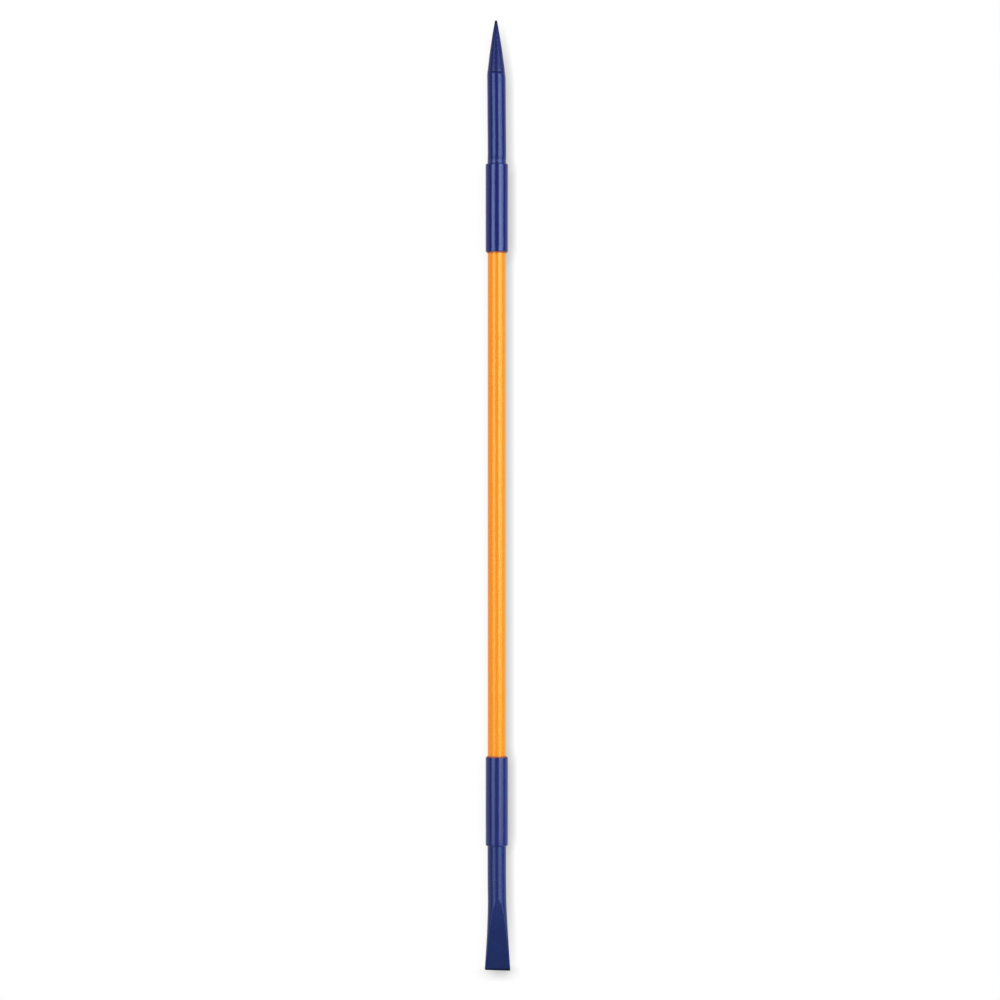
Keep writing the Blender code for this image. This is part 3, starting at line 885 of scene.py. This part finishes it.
def adhesive():
    """Dark red-brown adhesive, mottled and slightly pitted."""
    material, tree, shader = new_material("adhesive", ADHESIVE, IOR=ADHESIVE_IOR)
    spots = ranged(tree, grain(tree, SPOT_GRAIN, GRITTY, CRISP), 0.0, 1.0)
    tone = between_tints(tree, spots, ADHESIVE, ADHESIVE_SPOTS)
    rough = ranged(tree, grain(tree, ADHESIVE_HAZE_GRAIN), *ADHESIVE_ROUGHNESS)
    finish(tree, shader, tone, rough, bumped(tree, grain(tree, PIT_GRAIN, ROUGH), PIT_HEIGHT))
    return material


def glass_fibre():
    """Pale resin rod with its glass strands running lengthwise."""
    material, tree, shader = new_material("glass_fibre", RESIN, IOR=RESIN_IOR)
    strands = ranged(tree, grain(tree, STRAND_GRAIN, ROUGH, CRISP, STRAND_STRETCH), 0.0, 1.0)
    tone = between_tints(tree, strands, RESIN, RESIN_STRANDS)
    rough = ranged(tree, strands, *RESIN_ROUGHNESS, 0.0, 1.0)
    finish(tree, shader, tone, rough, bumped(tree, strands, STRAND_HEIGHT))
    return material


def pin_steel():
    """Bright drawn steel with fine scratches along the pin, which lies along X."""
    material, tree, shader = new_material("pin_steel", STEEL, Metallic=1.0)
    scratches = ranged(tree, grain(tree, SCRATCH_GRAIN, ROUGH, CRISP, SCRATCH_STRETCH), 0.0, 1.0)
    tone = between_tints(tree, scratches, STEEL, STEEL_SCRATCHES)
    rough = ranged(tree, scratches, *STEEL_ROUGHNESS, 0.0, 1.0)
    finish(tree, shader, tone, rough, bumped(tree, scratches, SCRATCH_HEIGHT))
    return material


def make_pieces():
    """Everything that the object is seen by, and the finish of what it hides."""
    make_point(point_enamel())
    make_chisel(chisel_enamel())
    make_sleeves(
        sleeve_enamel("point_sleeve_enamel", SLEEVE_BLUE, SLEEVE_TINT),
        sleeve_enamel("chisel_sleeve_enamel", CHISEL_SLEEVE_BLUE, CHISEL_SLEEVE_TINT),
    )
    make_sheath(cover_plastic())
    glue = adhesive()
    point_mouth_y, chisel_mouth_y = POINT_SLEEVE[0].y, CHISEL_SLEEVE[1].y
    make_bead("point_bead", "point_mouth_bead", point_mouth_y, POINT_SLEEVE_SLIP, glue, POINT_BEAD_SEED)
    make_bead("chisel_bead", "chisel_mouth_bead", chisel_mouth_y, 0.0, glue, CHISEL_BEAD_SEED)
    finishes = {"shaft_core": glass_fibre()}
    steel = pin_steel()
    for end in ("point", "chisel"):
        finishes[end + "_bond"] = glue
        finishes[end + "_shank_pin"] = steel
        finishes[end + "_core_pin"] = steel
    for node, material in finishes.items():
        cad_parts[node].data.materials.clear()
        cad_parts[node].data.materials.append(material)


# Stage

FLOOR_HALF = 60.0  # half of its width and of its length
FLOOR_ALBEDO = 0.8
FLOOR_ROUGHNESS = 0.9
FLOOR_IOR = 1.3
SHADOW_SAMPLES = 32
SHADOW_TURN = 5.0 * MM  # the shadow changes from this far before the edge to this far beyond it
SHADOW_REACH = (22.0 * MM, 28.0 * MM)  # along the bar, and beyond its edge
SHADOW_GAIN = (0.75, 2.0)  # its strength along the bar, and beyond its edge
SHADOW_LEFT_SHARE = 0.55  # of its strength on the right
SHADOW_LEAN_X = -1.0  # the shadow falls away from the direction of the two leans
SHADOW_LEAN_Y = (0.5, 2.8)  # along the bar, and beyond its edge
BACKDROP_HEIGHT = 1.8
DAYLIGHT = (1.06, 0.90, 0.85)  # all round, on matt surfaces
GLOSS_LIGHT = (0.08, 0.08, 0.08)  # what gloss sees above the backdrop
WHITE = (1.0, 1.0, 1.0)


def any_ray(tree, kinds):
    """1 for rays of any of the given kinds."""
    path = add_node(tree, "ShaderNodeLightPath")
    seen = path.outputs[kinds[0]]
    for kind in kinds[1:]:
        inputs = {0: seen, 1: path.outputs[kind]}
        seen = add_node(tree, "ShaderNodeMath", inputs, operation="MAXIMUM").outputs["Value"]
    return seen


def make_stage_mesh():
    """Floor with a low backdrop round it."""
    sides = ((-1, -1), (1, -1), (1, 1), (-1, 1))
    corners = [(x * FLOOR_HALF, y * FLOOR_HALF, z) for z in (0.0, BACKDROP_HEIGHT) for x, y in sides]
    count = len(sides)
    faces = [tuple(range(count))]
    for k in range(count):
        following = (k + 1) % count
        faces.append((following, k, k + count, following + count))
    mesh = bpy.data.meshes.new("floor")
    mesh.from_pydata(corners, [], faces)
    return mesh


def shadow_level(tree):
    """1 on the open floor, and less close to the bar, most of all on its right and beyond its edge."""
    beyond = along_bar(tree, EDGE_Y + SHADOW_TURN, EDGE_Y - SHADOW_TURN)
    reach = ranged(tree, beyond, *SHADOW_REACH, 0.0, 1.0)
    lean_y = ranged(tree, beyond, *SHADOW_LEAN_Y, 0.0, 1.0)
    across = add_node(tree, "ShaderNodeSeparateXYZ", {"Vector": place_in(tree)}).outputs["X"]
    side_share = ranged(tree, across, SHADOW_LEFT_SHARE, 1.0, -SHANK_RADIUS, SHANK_RADIUS)
    gain = product(tree, ranged(tree, beyond, *SHADOW_GAIN, 0.0, 1.0), side_share)
    lean = add_node(tree, "ShaderNodeCombineXYZ", {"X": SHADOW_LEAN_X, "Y": lean_y, "Z": 1.0})
    inputs = {0: lean.outputs["Vector"]}
    normal = add_node(tree, "ShaderNodeVectorMath", inputs, operation="NORMALIZE").outputs["Vector"]
    inputs = {"Distance": reach, "Normal": normal}
    shade = add_node(tree, "ShaderNodeAmbientOcclusion", inputs, samples=SHADOW_SAMPLES)
    return one_less(tree, product(tree, one_less(tree, shade.outputs["AO"]), gain))


def make_floor():
    """White floor. What sees it directly sees it white, with a soft shadow close to the bar."""
    mesh = make_stage_mesh()
    floor = bpy.data.objects.new("floor", mesh)
    bpy.context.scene.collection.objects.link(floor)
    material, tree, shader = new_material(
        "floor_white", (FLOOR_ALBEDO,) * 3, Roughness=FLOOR_ROUGHNESS, IOR=FLOOR_IOR
    )
    glow = add_node(tree, "ShaderNodeEmission", {"Strength": shadow_level(tree)})
    seen = any_ray(tree, ("Is Camera Ray", "Is Glossy Ray", "Is Transmission Ray"))
    inputs = {"Fac": seen, 1: shader.outputs["BSDF"], 2: glow.outputs["Emission"]}
    surface = add_node(tree, "ShaderNodeMixShader", inputs)
    tree.links.new(surface.outputs["Shader"], tree.nodes["Material Output"].inputs["Surface"])
    mesh.materials.append(material)


def make_world():
    """Even light all round, white where the camera looks past the floor, and dim to gloss."""
    world = bpy.data.worlds.new("studio")
    bpy.context.scene.world = world
    world.use_nodes = True
    tree = world.node_tree
    light = blended(tree, any_ray(tree, ("Is Glossy Ray",)), DAYLIGHT, GLOSS_LIGHT)
    light = blended(tree, any_ray(tree, ("Is Camera Ray", "Is Transmission Ray")), light, WHITE)
    tree.links.new(light, tree.nodes["Background"].inputs["Color"])


# Lamps. Angles are in degrees from straight above, towards +X
LAMP_DISTANCE = 40.0
STRIPS = (  # first and last angle, radiance and colour
    ("strip_left", -60.0, -28.0, 10.4, (0.93, 0.98, 1.0)),
    ("strip_right", 15.0, 40.0, 13.8, (1.0, 0.98, 0.94)),
    ("strip_right_edge", 40.0, 62.0, 7.7, (1.0, 0.98, 0.94)),
)
STRIP_LEVELS = (  # where a place on a strip is seen in the bar, and its share of the radiance
    (-1.90, 0.40),
    (-1.01, 0.40),
    (-0.99, 0.12),
    (-0.63, 0.12),
    (-0.57, 0.21),
    (-0.54, 0.35),
    (-0.43, 0.52),
    (-0.37, 0.50),
    (-0.18, 0.62),
    (-0.14, 1.00),
    (0.82, 1.00),
    (0.84, 0.30),
    (2.20, 0.30),
)
STRIP_REACH = max(abs(place) for place, _ in STRIP_LEVELS)
FILL_ANGLE = 48.0
FILL_DISTANCE = 10.0
FILL_SIZE = 16.0
FILL_RADIANCE = 0.9
FILL_COLOUR = (0.03, 0.68, 1.0)


def make_lamp(name, angle, distance, size_x, size_y, radiance, colour):
    """A soft box that faces the bar from an angle. The camera doesn't see it."""
    lamp = bpy.data.lights.new(name, "AREA")
    lamp.shape = "RECTANGLE"
    lamp.size = size_x
    lamp.size_y = size_y
    lamp.energy = radiance * math.pi * size_x * size_y
    lamp.color = colour
    made = bpy.data.objects.new(name, lamp)
    side = math.radians(angle)
    made.location = (math.sin(side) * distance, 0.0, math.cos(side) * distance + AXIS_Z)
    made.rotation_euler = (0.0, side, 0.0)
    made.visible_camera = False
    bpy.context.scene.collection.objects.link(made)
    return made


def dim_along(lamp, half_length):
    """Gives a strip its levels along its length, by a ramp over its Y."""
    lamp.use_nodes = True
    tree = lamp.node_tree
    position = add_node(tree, "ShaderNodeNewGeometry").outputs["Position"]
    along = add_node(tree, "ShaderNodeSeparateXYZ", {"Vector": position}).outputs["Y"]
    share = ranged(tree, along, 0.0, 1.0, -half_length, half_length)
    ramp = add_node(tree, "ShaderNodeValToRGB", {"Fac": share})
    stops = ramp.color_ramp.elements
    while len(stops) < len(STRIP_LEVELS):
        stops.new(1.0)
    for stop, (place, level) in zip(stops, STRIP_LEVELS):
        stop.position = (place / STRIP_REACH + 1) / 2
        stop.color = (level, level, level, 1.0)
    tree.links.new(ramp.outputs["Color"], tree.nodes["Emission"].inputs["Color"])


def make_strip(name, first, last, radiance, colour):
    """A long soft box that draws a stripe in the bar's gloss, dimmer towards the chisel.

    A place on the bar shows the place on the strip that lies further out by a fixed factor.
    """
    width = 2 * LAMP_DISTANCE * math.tan(math.radians(last - first) / 2)
    factor = 1 + LAMP_DISTANCE / CAMERA_DISTANCE
    length = 2 * STRIP_REACH * factor
    strip = make_lamp(name, (first + last) / 2, LAMP_DISTANCE, width, length, radiance, colour)
    strip.visible_diffuse = False
    dim_along(strip.data, length / 2)


def make_lamps():
    """The strips, and the cool fill on the right, which doesn't show in gloss."""
    for strip in STRIPS:
        make_strip(*strip)
    fill = make_lamp("fill", FILL_ANGLE, FILL_DISTANCE, FILL_SIZE, FILL_SIZE, FILL_RADIANCE, FILL_COLOUR)
    fill.visible_glossy = False


# Camera
PHOTO_SCALE = 1.6056 * MM  # metres of the bar in one pixel
PHOTO_PIXELS = 1000
BAR_PIXEL_X = 496.8  # the bar's centre line in the photograph
BAR_PIXEL_Y = 495.1  # its middle
CAMERA_DISTANCE = 4.5
CAMERA_SIDE = math.radians(7.0)  # towards -X from straight above
SENSOR = 36.0  # millimetres, as Blender counts it
CLIP_END = 500.0  # beyond the far side of the floor


def make_camera():
    """Camera above the bar, a little to its left, framed as the photograph."""
    right = Vector((math.cos(CAMERA_SIDE), 0.0, math.sin(CAMERA_SIDE)))
    up = Vector((0.0, 1.0, 0.0))
    back = right.cross(up)
    middle = PHOTO_PIXELS / 2
    target = Vector((0.0, 0.0, AXIS_Z))
    target += right * (middle - BAR_PIXEL_X) * PHOTO_SCALE
    target += up * (BAR_PIXEL_Y - middle) * PHOTO_SCALE
    camera = bpy.data.cameras.new("camera")
    camera.sensor_width = SENSOR
    camera.lens = SENSOR * CAMERA_DISTANCE / (PHOTO_PIXELS * PHOTO_SCALE)
    camera.clip_end = CLIP_END
    made = bpy.data.objects.new("camera", camera)
    bpy.context.scene.collection.objects.link(made)
    place = target + back * CAMERA_DISTANCE
    made.matrix_world = Matrix.Translation(place) @ Matrix((right, up, back)).transposed().to_4x4()
    bpy.context.scene.camera = made


make_camera()
make_pieces()
make_floor()
make_world()
make_lamps()
bpy.context.scene.view_settings.view_transform = "Standard"
